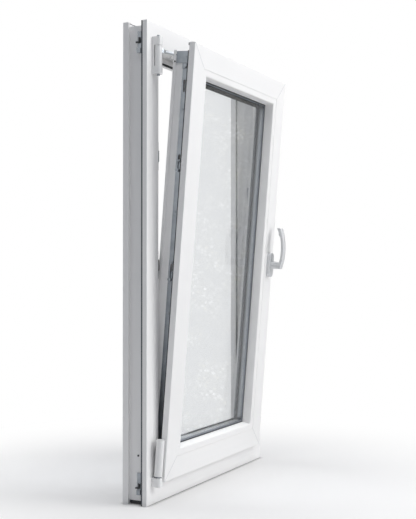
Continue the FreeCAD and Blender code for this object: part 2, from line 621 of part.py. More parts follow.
def stay():
    """Stay arm with its covered eye on the hinge line, and the rivet that slides along the sash."""
    web_front = -STAY_WEB_GAP - STAY_WEB_THICKNESS
    eye_edge = HINGE_INSET + STAY_EYE_RADIUS
    gap = SASH_EDGE - STAY_WEB_THICKNESS
    rebate = FRAME_FACE + STAY_REBATE_CLEARANCE
    body = SASH_EDGE + SASH_BODY
    half = STAY_WIDTH / 2
    end = HINGE_INSET + STAY_LENGTH + half
    low, high = STRIP_MIDDLE - half, STRIP_MIDDLE + half
    web = [(HINGE_INSET + STAY_PIN_RADIUS, -HINGE_STANDOFF), (eye_edge, -HINGE_STANDOFF),
           (gap, web_front), (rebate + STAY_WEB_THICKNESS, web_front),
           (rebate + STAY_WEB_THICKNESS, -STAY_WEB_GAP), (gap - STAY_WEB_THICKNESS, -STAY_WEB_GAP),
           (HINGE_INSET + STAY_PIN_RADIUS, -HINGE_STANDOFF + STAY_EYE_RADIUS / 2)]
    arm_plan = [(rebate - STAY_REBATE_CLEARANCE, web_front), (rebate + STAY_WEB_THICKNESS, web_front),
                (body + half, low), (end, low, half - SMALL_RADIUS), (end, high, half - SMALL_RADIUS),
                (body, high), (rebate, STAY_REBATE_CLEARANCE), (rebate, -STAY_WEB_GAP),
                (rebate - STAY_REBATE_CLEARANCE, -STAY_WEB_GAP)]
    arm = upright(STAY_EYE_RADIUS, STAY_EYE_BOTTOM, STAY_EYE_TOP)
    arm = arm.fuse(plan_prism(web, STAY_Z - STAY_WEB_BELOW, STAY_Z + STAY_WEB_ABOVE))
    arm = arm.fuse(plan_prism(arm_plan, STAY_Z, STAY_Z + STAY_THICKNESS))
    arm = arm.cut(upright(STAY_PIN_RADIUS + PIN_CLEARANCE, STAY_EYE_BOTTOM, STAY_EYE_TOP))
    foot = Vector(HINGE_X + STAY_LENGTH, ROOM_FACE + STRIP_MIDDLE, SASH.top - SASH_BODY - RIVET_REACH)
    arm_top = STAY_Z + STAY_THICKNESS
    hole = Part.makeCylinder(RIVET_RADIUS + PIN_CLEARANCE, arm_top - foot.z, foot)
    arm = arm.cut(hole)
    rivet = Part.makeCylinder(RIVET_RADIUS, arm_top - foot.z, foot)
    head = Part.makeCylinder(RIVET_HEAD_RADIUS, RIVET_HEAD, Vector(foot.x, foot.y, arm_top))
    cover = upright(STAY_COVER_RADIUS, STAY_EYE_BOTTOM, STAY_EYE_TOP)
    cover = cover.cut(upright(STAY_EYE_RADIUS + PIN_CLEARANCE, STAY_EYE_BOTTOM, STAY_EYE_TOP))
    window_low = (HINGE_X, HINGE_Y - NOTCH_MARGIN, STAY_Z - STAY_WEB_BELOW - NOTCH_MARGIN)
    window_high = (HINGE_X + HINGE_EDGE, ROOM_FACE, STAY_Z + STAY_WEB_ABOVE + NOTCH_MARGIN)
    cover = cover.cut(box(window_low, window_high))
    pieces = {"stay_arm": one_piece(arm.removeSplitter()), "stay_rivet": one_piece(rivet.fuse(head)),
              "stay_cover": one_piece(cover)}
    for shape in pieces.values():
        shape.rotate(Vector(HINGE_X, HINGE_Y, 0), Vector(0, 0, 1), -stay_swing())
    return pieces


def on_handle_axis(shape):
    """Puts a shape drawn upright, with its own Z towards the room, on the sash at the handle."""
    placed = shape.copy()
    place = Vector(SASH.right - HANDLE_INSET, ROOM_FACE + SASH_FRONT, SASH_MIDDLE)
    placed.Placement = Placement(place, Rotation(Vector(1, 0, 0), 90))
    return placed


def handle():
    """Rosette on the sash, and the lever with its neck, pointing up."""
    x, y = ROSETTE_WIDTH / 2, ROSETTE_HEIGHT / 2
    corners = [(a * x, b * y, ROSETTE_RADIUS) for a, b in ((-1, -1), (1, -1), (1, 1), (-1, 1))]
    rosette = rounded_outline(corners).extrude(Vector(0, 0, ROSETTE_THICKNESS))
    socket = ROSETTE_THICKNESS - ROSETTE_BORE
    bore = NECK_RADIUS + NECK_CLEARANCE
    rosette = rosette.cut(Part.makeCylinder(bore, ROSETTE_BORE, Vector(0, 0, socket)))

    inner = LEVER_STANDOFF
    outer = inner + LEVER_THICKNESS
    middle = (LEVER_LENGTH - LEVER_FOOT) / 2
    foot, tip = -LEVER_FOOT, LEVER_LENGTH
    side = -LEVER_WIDTH / 2
    edges = [Part.Arc(Vector(side, foot, inner), Vector(side, middle, inner + LEVER_BOW),
                      Vector(side, tip, inner - LEVER_CURL)).toShape(),
             Part.LineSegment(Vector(side, tip, inner - LEVER_CURL),
                              Vector(side, tip, outer - LEVER_CURL)).toShape(),
             Part.Arc(Vector(side, tip, outer - LEVER_CURL), Vector(side, middle, outer + LEVER_BOW),
                      Vector(side, foot, outer)).toShape(),
             Part.LineSegment(Vector(side, foot, outer), Vector(side, foot, inner)).toShape()]
    lever = Part.Face(Part.Wire(edges)).extrude(Vector(LEVER_WIDTH, 0, 0))
    lever = lever.makeChamfer(LEVER_EDGE, lever.Edges)
    neck_start = socket + SEAT_GAP
    neck = Part.makeCylinder(NECK_RADIUS, inner + LEVER_EDGE - neck_start, Vector(0, 0, neck_start))
    lever = one_piece(lever.fuse(neck).removeSplitter())
    return {"handle_rosette": on_handle_axis(one_piece(rosette)), "handle_lever": on_handle_axis(lever)}


def drain_caps():
    """Hoods over the drain slots on the weather side of the sill."""
    caps = []
    for x in drain_places():
        low = (x - DRAIN_CAP_LENGTH / 2, ROOM_FACE + FRAME_DEPTH, DRAIN_CAP_LEVEL)
        high = (x + DRAIN_CAP_LENGTH / 2, low[1] + DRAIN_CAP_DEPTH, DRAIN_CAP_LEVEL + DRAIN_CAP_HEIGHT)
        cap = box(low, high)
        rim = [e for e in cap.Edges if e.BoundBox.YMin > high[1] - SEAT_GAP]
        caps.append(cap.makeFillet(DRAIN_CAP_EDGE, rim))
    return {"drain_caps": Part.makeCompound(caps)}


def anchor_plates():
    """Fixing plates in the wall groove of the hinge jamb, one near each end."""
    plates = []
    front = ROOM_FLANGE + ANCHOR_SLOT_WIDTH
    for run in (ANCHOR_FROM_END, FRAME_HEIGHT - ANCHOR_FROM_END - ANCHOR_LENGTH):
        plate = box((WALL_GROOVE_DEPTH - ANCHOR_THICKNESS, front, run),
                    (WALL_GROOVE_DEPTH, front + ANCHOR_WIDTH, run + ANCHOR_LENGTH))
        lug = box((WALL_GROOVE_DEPTH - ANCHOR_LUG_HEIGHT, front, run),
                  (WALL_GROOVE_DEPTH, front + ANCHOR_WIDTH, run + ANCHOR_LUG_LENGTH))
        plate = plate.fuse(lug).removeSplitter()
        centre = Vector(0, front + ANCHOR_WIDTH / 2, run + ANCHOR_LENGTH / 2)
        hole = Part.makeCylinder(ANCHOR_HOLE_RADIUS, WALL_GROOVE_DEPTH, centre, Vector(1, 0, 0))
        plates.append(plate.cut(hole))
    return {"anchor_plates": on_side(Part.makeCompound(plates), "left", FRAME)}


def main():
    """Builds every piece in its tilted place and writes it out."""
    hinge = corner_hinge()
    grip = handle()
    on_frame = {**frame_pieces(), **keeps(), **stay_bearing(), **drain_caps(), **anchor_plates()}
    for name in ("corner_pivot_rest", "corner_hinge_pin"):
        on_frame[name] = hinge.pop(name)
    on_sash = {**sash_pieces(), **glass_pieces(), **fitting_strips(), **locking_cams(), **hinge, **grip}
    pieces = {**on_frame, **stay(), **{name: tilted(shape) for name, shape in on_sash.items()}}
    os.makedirs("parts", exist_ok=True)
    for name, shape in pieces.items():
        shape.exportStep("parts/" + name + ".step")
    print(len(pieces), "pieces; the stay swings", round(stay_swing(), 4), "degrees")


main()
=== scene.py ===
import json
import logging
import math
from dataclasses import dataclass
from enum import Enum
from typing import Any, Iterable, Optional

import bmesh
import bpy
from mathutils import Matrix, Vector


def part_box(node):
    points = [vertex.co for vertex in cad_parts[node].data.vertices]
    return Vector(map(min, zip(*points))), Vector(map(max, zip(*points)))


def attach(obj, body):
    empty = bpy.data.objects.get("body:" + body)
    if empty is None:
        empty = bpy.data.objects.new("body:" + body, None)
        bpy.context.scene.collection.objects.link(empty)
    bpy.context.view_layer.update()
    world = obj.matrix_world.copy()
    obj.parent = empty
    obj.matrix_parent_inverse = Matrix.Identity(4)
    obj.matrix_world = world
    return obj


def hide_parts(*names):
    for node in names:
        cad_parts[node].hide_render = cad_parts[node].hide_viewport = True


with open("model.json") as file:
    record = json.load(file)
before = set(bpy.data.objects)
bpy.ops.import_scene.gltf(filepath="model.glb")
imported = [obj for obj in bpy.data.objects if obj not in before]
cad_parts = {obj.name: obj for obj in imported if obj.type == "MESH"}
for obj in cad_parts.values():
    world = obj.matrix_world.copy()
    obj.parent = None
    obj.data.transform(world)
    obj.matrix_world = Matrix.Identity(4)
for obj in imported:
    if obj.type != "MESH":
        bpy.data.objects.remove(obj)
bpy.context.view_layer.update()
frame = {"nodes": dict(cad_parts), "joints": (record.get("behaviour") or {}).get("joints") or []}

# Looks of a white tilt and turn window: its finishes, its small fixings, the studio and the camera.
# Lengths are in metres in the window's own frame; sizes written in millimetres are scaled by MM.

MM = 0.001
LOG = logging.getLogger("window")
Mesh = bmesh.types.BMesh
Material = bpy.types.Material
Node = bpy.types.Node
Socket = bpy.types.NodeSocket
Tree = bpy.types.NodeTree
Span = tuple[float, float]
Triple = tuple[float, float, float]


class Body(Enum):
    """Bodies of the window that carry pieces."""

    FRAME = "frame"
    SASH = "sash"
    HANDLE = "handle"


class Slot(Enum):
    """Material slots of the record."""

    UPVC = "white_upvc"
    MOULDING = "white_moulding"
    HANDLE = "white_handle"
    SEAL = "black_seal"
    SPACER = "spacer_aluminium"
    STEEL = "zinc_steel"
    DARK = "dark_plastic"


class Grain(Enum):
    """Way that a bar was drawn, as the stretch of its pattern along X, Y and Z."""

    UPRIGHT = (1.0, 1.0, 0.02)
    LEVEL = (0.02, 1.0, 1.0)


def linear(code: str) -> tuple[float, float, float, float]:
    """Turns an sRGB hex colour into the linear one that shaders take.

    Args:
        code: six hex digits, with or without a leading hash.
    Returns:
        Linear red, green, blue and an alpha of 1.
    """
    digits = code.lstrip("#")
    channels = [int(digits[i:i + 2], 16) / 255 for i in (0, 2, 4)]
    lin = [c / 12.92 if c <= 0.04045 else ((c + 0.055) / 1.055) ** 2.4 for c in channels]
    return lin[0], lin[1], lin[2], 1.0


def per_metre(size_mm: float) -> float:
    """Scale of a texture whose pattern repeats about every size_mm."""
    return 1.0 / (size_mm * MM)


def add_node(tree: Tree, kind: str, inputs: Optional[dict[Any, Any]] = None,
             links: Optional[dict[Any, Socket]] = None, **settings: Any) -> Node:
    """Adds a node with its settings and links.

    Args:
        tree: node tree that takes the node.
        kind: Blender's name for the node type.
        inputs: fixed values by input name or index.
        links: sockets to connect, by input name or index.
        settings: the node's own properties.
    Returns:
        The new node.
    """
    node = tree.nodes.new(kind)
    for name, value in settings.items():
        setattr(node, name, value)
    for key, value in (inputs or {}).items():
        node.inputs[key].default_value = value
    for key, source in (links or {}).items():
        tree.links.new(source, node.inputs[key])
    return node


def new_material(name: str) -> Material:
    """Makes a material whose node tree is empty.

    Args:
        name: name of the material.
    Returns:
        The material.
    """
    made = bpy.data.materials.new(name)
    made.use_nodes = True
    made.node_tree.nodes.clear()
    return made


@dataclass(frozen=True)
class Finish:
    """A surface finish, with what all of them share."""

    name: str
    colour: str
    roughness: float
    second: str = "#FFFFFF"
    spread: float = 0.0
    bump: float = 0.0
    depth_mm: float = 0.0

    def material(self) -> Material:
        """Makes the material.

        Returns:
            A new material with its nodes in place.
        """
        made = new_material(self.name)
        tree = made.node_tree
        shader = add_node(tree, "ShaderNodeBsdfPrincipled",
                          {"Base Color": linear(self.colour), "Roughness": self.roughness})
        place = add_node(tree, "ShaderNodeTexCoord").outputs["Object"]
        self.paint(tree, shader, place)
        add_node(tree, "ShaderNodeOutputMaterial", links={"Surface": self.surface(tree, shader)})
        return made

    def paint(self, tree: Tree, shader: Node, place: Socket) -> None:
        """Adds the finish's own patterns to the shader."""

    def surface(self, tree: Tree, shader: Node) -> Socket:
        """Socket that goes to the material's output."""
        return shader.outputs["BSDF"]

    def vary(self, tree: Tree, shader: Node, tone: Socket,
             height: Optional[Socket] = None) -> None:
        """Lets colour and roughness wander with a pattern, and presses another into the skin.

        Args:
            tree: the material's node tree.
            shader: its Principled shader.
            tone: pattern between 0 and 1 for colour and roughness.
            height: pattern that raises the skin, if there is one.
        """
        mix = add_node(tree, "ShaderNodeMix", {6: linear(self.colour), 7: linear(self.second)},
                       {0: tone}, data_type="RGBA")
        tree.links.new(mix.outputs[2], shader.inputs["Base Color"])
        low, high = self.roughness - self.spread, self.roughness + self.spread
        rough = add_node(tree, "ShaderNodeMapRange", {"To Min": low, "To Max": high}, {"Value": tone})
        tree.links.new(rough.outputs["Result"], shader.inputs["Roughness"])
        if height is not None:
            bump = add_node(tree, "ShaderNodeBump",
                            {"Strength": self.bump, "Distance": self.depth_mm * MM}, {"Height": height})
            tree.links.new(bump.outputs["Normal"], shader.inputs["Normal"])


@dataclass(frozen=True)
class ExtrudedUpvc(Finish):
    """Rigid PVC drawn through a die: satin white, with faint lines along the bar and a soft peel."""

    grain: Grain = Grain.UPRIGHT
    # The lines are coarser than on the real one, so that they show.
    line_mm: float = 5.0
    peel_mm: float = 9.0
    cloud_mm: float = 140.0
    second: str = "#ECECEC"
    spread: float = 0.05
    bump: float = 0.05
    depth_mm: float = 0.15

    def paint(self, tree: Tree, shader: Node, place: Socket) -> None:
        """Adds the drawing lines, the soft cloud of tone and the peel.

        Args:
            tree: the material's node tree.
            shader: its Principled shader.
            place: the object's own coordinates.
        """
        turned = add_node(tree, "ShaderNodeMapping", {"Scale": self.grain.value}, {"Vector": place})
        lines = add_node(tree, "ShaderNodeTexNoise",
                         {"Scale": per_metre(self.line_mm), "Detail": 3.0, "Roughness": 0.6},
                         {"Vector": turned.outputs["Vector"]})
        cloud = add_node(tree, "ShaderNodeTexNoise",
                         {"Scale": per_metre(self.cloud_mm), "Detail": 2.0}, {"Vector": place})
        fac = add_node(tree, "ShaderNodeMath", links={0: lines.outputs["Fac"], 1: cloud.outputs["Fac"]},
                       operation="MULTIPLY")
        peel = add_node(tree, "ShaderNodeTexNoise",
                        {"Scale": per_metre(self.peel_mm), "Detail": 2.0}, {"Vector": place})
        height = add_node(tree, "ShaderNodeMath", operation="ADD",
                          links={0: peel.outputs["Fac"], 1: lines.outputs["Fac"]})
        self.vary(tree, shader, fac.outputs[0], height.outputs[0])


@dataclass(frozen=True)
class MouldedPlastic(Finish):
    """Moulded or foamed plastic: a fine even grain that softens the highlights."""

    # The grain is coarser than on the real one, so that it shows.
    grain_mm: float = 0.9
    second: str = "#E8E8E8"
    spread: float = 0.06
    bump: float = 0.15
    depth_mm: float = 0.05

    def paint(self, tree: Tree, shader: Node, place: Socket) -> None:
        """Adds the mould's grain and a little tone.

        Args:
            tree: the material's node tree.
            shader: its Principled shader.
            place: the object's own coordinates.
        """
        grain = add_node(tree, "ShaderNodeTexNoise",
                         {"Scale": per_metre(self.grain_mm), "Detail": 2.0}, {"Vector": place})
        self.vary(tree, shader, grain.outputs["Fac"], grain.outputs["Fac"])


@dataclass(frozen=True)
class PowderCoat(Finish):
    """Powder-coated cast zinc: a soft grey white with a glossy skin over a fine orange peel."""

    peel_mm: float = 2.2
    second: str = "#D8D9DB"
    spread: float = 0.04
    bump: float = 0.1
    depth_mm: float = 0.1
    coat: float = 0.35
    coat_roughness: float = 0.12

    def paint(self, tree: Tree, shader: Node, place: Socket) -> None:
        """Adds the orange peel under a clear coat.

        Args:
            tree: the material's node tree.
            shader: its Principled shader.
            place: the object's own coordinates.
        """
        shader.inputs["Coat Weight"].default_value = self.coat
        shader.inputs["Coat Roughness"].default_value = self.coat_roughness
        peel = add_node(tree, "ShaderNodeTexNoise",
                        {"Scale": per_metre(self.peel_mm), "Detail": 1.0}, {"Vector": place})
        self.vary(tree, shader, peel.outputs["Fac"], peel.outputs["Fac"])


@dataclass(frozen=True)
class RubberSeal(Finish):
    """Extruded EPDM seal: charcoal and matt, with a bloom that greys its skin in patches."""

    bloom_mm: float = 18.0
    # The grain is coarser than on the real one, so that it shows.
    grain_mm: float = 0.7
    second: str = "#2C3033"
    spread: float = 0.1
    bump: float = 0.2
    depth_mm: float = 0.08
    sheen: float = 0.05
    gloss: float = 0.15

    def paint(self, tree: Tree, shader: Node, place: Socket) -> None:
        """Adds the grey bloom and the fine grain.

        Args:
            tree: the material's node tree.
            shader: its Principled shader.
            place: the object's own coordinates.
        """
        shader.inputs["Sheen Weight"].default_value = self.sheen
        shader.inputs["Specular IOR Level"].default_value = self.gloss
        bloom = add_node(tree, "ShaderNodeTexNoise",
                         {"Scale": per_metre(self.bloom_mm), "Detail": 4.0}, {"Vector": place})
        grain = add_node(tree, "ShaderNodeTexNoise", {"Scale": per_metre(self.grain_mm)},
                         {"Vector": place})
        self.vary(tree, shader, bloom.outputs["Fac"], grain.outputs["Fac"])


@dataclass(frozen=True)
class ZincPlate(Finish):
    """Zinc-plated pressed steel: cool silver with rolling lines and a cloudy passivation."""

    cloud_mm: float = 22.0
    # The lines are coarser than on the real one, so that they show.
    line_mm: float = 1.6
    second: str = "#747A7F"
    spread: float = 0.1
    bump: float = 0.12
    depth_mm: float = 0.08

    def paint(self, tree: Tree, shader: Node, place: Socket) -> None:
        """Adds the cloud of the passivation and the rolling lines.

        Args:
            tree: the material's node tree.
            shader: its Principled shader.
            place: the object's own coordinates.
        """
        shader.inputs["Metallic"].default_value = 1.0
        cloud = add_node(tree, "ShaderNodeTexNoise",
                         {"Scale": per_metre(self.cloud_mm), "Detail": 5.0}, {"Vector": place})
        turned = add_node(tree, "ShaderNodeMapping", {"Scale": Grain.UPRIGHT.value}, {"Vector": place})
        lines = add_node(tree, "ShaderNodeTexNoise", {"Scale": per_metre(self.line_mm), "Detail": 2.0},
                         {"Vector": turned.outputs["Vector"]})
        self.vary(tree, shader, cloud.outputs["Fac"], lines.outputs["Fac"])


@dataclass(frozen=True)
class SpacerBar(Finish):
    """Roll-formed aluminium spacer: dull silver with rows of small breather holes."""

    pitch_mm: float = 6.0
    second: str = "#5B6065"
    spread: float = 0.1
    metal: float = 0.9
    hole_edge: Span = (0.16, 0.2)

    def paint(self, tree: Tree, shader: Node, place: Socket) -> None:
        """Adds the breather holes as dark dots.

        Args:
            tree: the material's node tree.
            shader: its Principled shader.
            place: the object's own coordinates.
        """
        shader.inputs["Metallic"].default_value = self.metal
        dots = add_node(tree, "ShaderNodeTexVoronoi",
                        {"Scale": per_metre(self.pitch_mm), "Randomness": 0.0}, {"Vector": place})
        inner, outer = self.hole_edge
        holes = add_node(tree, "ShaderNodeMapRange",
                         {"From Min": inner, "From Max": outer, "To Min": 1.0, "To Max": 0.0},
                         {"Value": dots.outputs["Distance"]})
        self.vary(tree, shader, holes.outputs["Result"])


@dataclass(frozen=True)
class FloatGlass(Finish):
    """Float glass: clear, flat and very smooth, with hardly any tint."""

    ior: float = 1.52

    def paint(self, tree: Tree, shader: Node, place: Socket) -> None:
        """Makes the shader clear."""
        shader.inputs["Transmission Weight"].default_value = 1.0
        shader.inputs["IOR"].default_value = self.ior

    def surface(self, tree: Tree, shader: Node) -> Socket:
        """Socket to the output, which lets the lamps' light through to what is behind the pane.

        Args:
            tree: the material's node tree.
            shader: its Principled shader.
        Returns:
            The socket.
        """
        path = add_node(tree, "ShaderNodeLightPath")
        clear = add_node(tree, "ShaderNodeBsdfTransparent", {"Color": linear(self.colour)})
        mix = add_node(tree, "ShaderNodeMixShader", links={
            0: path.outputs["Is Shadow Ray"], 1: shader.outputs["BSDF"], 2: clear.outputs["BSDF"]})
        return mix.outputs["Shader"]


class Finishes:
    """The window's finishes, each made once."""

    def __init__(self) -> None:
        """Makes every material."""
        white = "#F4F3F2"
        self.upright = ExtrudedUpvc("extruded_upvc_upright", white, 0.5).material()
        self.level = ExtrudedUpvc("extruded_upvc_level", white, 0.5, grain=Grain.LEVEL).material()
        self.moulded = MouldedPlastic("moulded_acetal_white", "#F4F4F3", 0.2).material()
        self.coat = PowderCoat("powder_coated_zinc_white", "#DFE0E1", 0.26).material()
        self.seal = RubberSeal("epdm_rubber_charcoal", "#1F2225", 0.66).material()
        self.steel = ZincPlate("zinc_plated_steel", "#A0A5AC", 0.34).material()
        self.spacer = SpacerBar("roll_formed_aluminium", "#AEB3B8", 0.42).material()
        self.glass = FloatGlass("float_glass", "#F6F7F8", 0.0).material()
        self.dark = MouldedPlastic("moulded_nylon_black", "#1D1F21", 0.5, second="#2B2E31").material()
        # Partly painted light: the inner lip is grey, and its grey is lighter than the black seal so
        # that it stands in for the light falling from above on the lower lip.
        self.grey_and_lit_lip = MouldedPlastic("grey_tpe_with_painted_light", "#83878D", 0.6, second="#777B82").material()
        # Painted shade: a dark colour for the strips that stand in for the shade in the frame's slots.
        self.slot_shade = MouldedPlastic("dark_slot_shade_paint", "#565A60", 0.8, second="#4B4F55").material()
        self.seam = MouldedPlastic("welded_upvc_seam", "#C6C9CC", 0.55, second="#B4B8BC").material()


def dress(material: Material, names: Iterable[str]) -> None:
    """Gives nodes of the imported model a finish.

    Args:
        material: the finish.
        names: the nodes that take it.
    """
    for name in names:
        for place in frame["nodes"][name].material_slots:
            place.material = material
        LOG.info("%s is finished in %s", name, material.name)


def make_piece(name: str, shape: Mesh, material: Material,
               body: Body, smooth_deg: float = 35.0) -> bpy.types.Object:
    """Turns a bmesh into a finished piece that rides on a body.

    Args:
        name: name of the piece.
        shape: its mesh, in the window's frame; it is freed here.
        material: its finish.
        body: body that carries it.
        smooth_deg: edges flatter than this are shaded smooth.
    Returns:
        The new object.
    """
    bmesh.ops.recalc_face_normals(shape, faces=shape.faces[:])
    mesh = bpy.data.meshes.new(name)
    shape.to_mesh(mesh)
    shape.free()
    mesh.shade_smooth()
    mesh.set_sharp_from_angle(angle=math.radians(smooth_deg))
    mesh.materials.append(material)
    piece = bpy.data.objects.new(name, mesh)
    bpy.context.scene.collection.objects.link(piece)
    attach(piece, body.value)
    LOG.info("%s rides on %s with %d faces", name, body.value, len(mesh.polygons))
    return piece


def basis(origin: Vector, along: Vector, out: Vector) -> Matrix:
    """Matrix that puts a shape drawn along its own X, standing out along Z, at a place.

    Args:
        origin: place of the shape's own origin.
        along: direction of its X.
        out: direction of its Z.
    Returns:
        The matrix.
    """
    z = out.normalized()
    x = (along - z * along.dot(z)).normalized()
    y = z.cross(x)
    turn = Matrix((x, y, z)).transposed().to_4x4()
    return Matrix.Translation(origin) @ turn


def add_box(shape: Mesh, low: Vector, high: Vector, edge: float = 0.0,
            place: Matrix = Matrix.Identity(4)) -> None:
    """Adds a block between two corners.

    Args:
        shape: mesh that takes the block.
        low: its lowest corner.
        high: its highest corner.
        edge: radius of its rounded edges.
        place: where the block's own frame stands.
    """
    made = bmesh.ops.create_cube(shape, size=1.0)
    size = Matrix.Diagonal((*(high - low), 1.0))
    where = place @ Matrix.Translation((low + high) / 2) @ size
    bmesh.ops.transform(shape, matrix=where, verts=made["verts"])
    if edge:
        round_off(shape, {e for v in made["verts"] for e in v.link_edges}, edge, 2)


def add_rod(shape: Mesh, start: Vector, end: Vector, radius: float,
            end_radius: Optional[float] = None, sides: int = 24) -> None:
    """Adds a round bar or a cone with closed ends.

    Args:
        shape: mesh that takes the bar.
        start: middle of its first end.
        end: middle of its other end.
        radius: radius at the start.
        end_radius: radius at the end, if it differs.
        sides: number of sides.
    """
    span = end - start
    last = radius if end_radius is None else end_radius
    made = bmesh.ops.create_cone(shape, cap_ends=True, segments=sides, radius1=radius, radius2=last,
                                 depth=span.length)
    across = Vector((1, 0, 0)) if abs(span.normalized().x) < 0.9 else Vector((0, 1, 0))
    bmesh.ops.transform(shape, matrix=basis((start + end) / 2, across, span), verts=made["verts"])


def round_off(shape: Mesh, edges: Iterable[bmesh.types.BMEdge], radius: float,
              segments: int) -> None:
    """Rounds edges of a mesh.

    Args:
        shape: the mesh.
        edges: the edges to round.
        radius: their radius.
        segments: faces across the rounding.
    """
    bmesh.ops.bevel(shape, geom=list(edges), offset=radius, offset_type="OFFSET", affect="EDGES",
                    segments=segments, profile=0.5, material=-1)


def add_ring(shape: Mesh, low: Vector, high: Vector, inset: float, width: float,
             place: Matrix = Matrix.Identity(4)) -> None:
    """Adds an upright ring of square section, such as a seal.

    Args:
        shape: mesh that takes the ring.
        low: lowest corner of the rectangle that it follows; its Y is the ring's front.
        high: highest corner; its Y is the ring's back.
        inset: how far inside that rectangle the ring's outer edge runs.
        width: width of the ring's section.
        place: where the ring's own frame stands.
    """
    left, right = low.x + inset, high.x - inset
    bottom, top = low.z + inset, high.z - inset
    for x in (left, right - width):
        add_box(shape, Vector((x, low.y, bottom)), Vector((x + width, high.y, top)), place=place)
    for z in (bottom, top - width):
        add_box(shape, Vector((left + width, low.y, z)), Vector((right - width, high.y, z + width)),
                place=place)


class SashPlace:
    """Where the sash stands at rest, from the joint that tilts it."""

    def __init__(self) -> None:
        """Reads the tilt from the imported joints."""
        tilt = next(j for j in frame["joints"] if j["name"] == "sash_tilt")
        centre = Vector(tilt["pos_m"])
        turn = Matrix.Rotation(-math.radians(tilt["range_deg"][1]), 4, Vector(tilt["axis"]))
        self.tilted = Matrix.Translation(centre) @ turn @ Matrix.Translation(-centre)
        self.shut = self.tilted.inverted()

    def shut_box(self, node: str) -> tuple[Vector, Vector]:
        """Corners of a sash node as it lies with the sash shut.

        Args:
            node: name of the node.
        Returns:
            Its lowest and highest corner.
        """
        points = [self.shut @ v.co for v in frame["nodes"][node].data.vertices]
        low = Vector([min(p[i] for p in points) for i in range(3)])
        high = Vector([max(p[i] for p in points) for i in range(3)])
        return low, high


@dataclass
class WeldSeams:
    """Cleaned weld lines across the corners of a mitred ring."""

    width: float = 0.9 * MM
    proud: float = 0.08 * MM
    sunk: float = 0.4 * MM

    def line(self, shape: Mesh, start: Vector, end: Vector, out: Vector,
             place: Matrix) -> None:
        """Adds one seam along a face.

        Args:
            shape: mesh that takes the seam.
            start: one end on the face.
            end: the other end.
            out: direction in which the face looks.
            place: where the ring stands.
        """
        span = end - start
        half = Vector((span.length / 2, self.width / 2, 0))
        add_box(shape, Vector((0, 0, -self.sunk)) - half, Vector((0, 0, self.proud)) + half,
                place=place @ basis((start + end) / 2, span, out))

    def corners(self, low: Vector, high: Vector, reach: float) -> list[tuple[Vector, Vector]]:
        """Mitre lines of a ring on its room side.

        Args:
            low: lowest corner of the ring.
            high: highest corner.
            reach: width of the face that the lines cross.
        Returns:
            The start and end of each line, at a depth of 0.
        """
        lines = []
        for x, dx in ((low.x, reach), (high.x, -reach)):
            for z, dz in ((low.z, reach), (high.z, -reach)):
                edge = math.copysign(self.width, dx), math.copysign(self.width, dz)
                lines.append((Vector((x + edge[0], 0, z + edge[1])), Vector((x + dx, 0, z + dz))))
        return lines

    def ring(self, name: str, low: Vector, high: Vector, faces: Iterable[tuple[float, float, float]],
             place: Matrix, body: Body, finishes: Finishes) -> bpy.types.Object:
        """Makes the seams of one ring.

        Args:
            name: name of the piece.
            low: lowest corner of the ring.
            high: highest corner.
            faces: for each face its depth, the direction it looks along Y, and its width.
            place: where the ring stands.
            body: body that carries it.
            finishes: the window's finishes.
        Returns:
            The seams as one piece.
        """
        shape = bmesh.new()
        for depth, look, reach in faces:
            for start, end in self.corners(low, high, reach):
                start.y = end.y = depth
                self.line(shape, start, end, Vector((0, look, 0)), place)
        return make_piece(name, shape, finishes.seam, body)


@dataclass
class CrossScrew:
    """Countersunk screw head with a cross recess."""

    radius: float = 3.6 * MM
    height: float = 0.9 * MM
    recess: float = 2.2 * MM
    blade: float = 0.9 * MM
    taper: float = 0.8
    sink: float = 0.5
    bar: float = 0.7
    sides: int = 16

    def add(self, shape: Mesh, where: Matrix) -> None:
        """Adds one head to a mesh.

        Args:
            shape: mesh that takes the head.
            where: place of the head's seat, standing out along its Z.
        """
        middle = where @ Matrix.Translation((0, 0, self.height / 2))
        rim = self.radius * self.taper
        head = bmesh.ops.create_cone(shape, cap_ends=True, segments=self.sides, radius1=self.radius,
                                     radius2=rim, depth=self.height)["verts"]
        top = max((f for v in head for f in v.link_faces), key=lambda f: f.calc_center_median().z)
        inner = bmesh.ops.inset_individual(shape, faces=[top], thickness=rim - self.recess,
                                           depth=-self.height * self.sink)
        verts = set(head) | {v for f in inner["faces"] for v in f.verts} | set(top.verts)
        bmesh.ops.transform(shape, matrix=middle, verts=list(verts))
        half = Vector((self.recess, self.blade / 2, self.height * self.bar / 2))
        for turn in (0.0, math.pi / 2):
            add_box(shape, -half, half, place=middle @ Matrix.Rotation(turn, 4, "Z"))


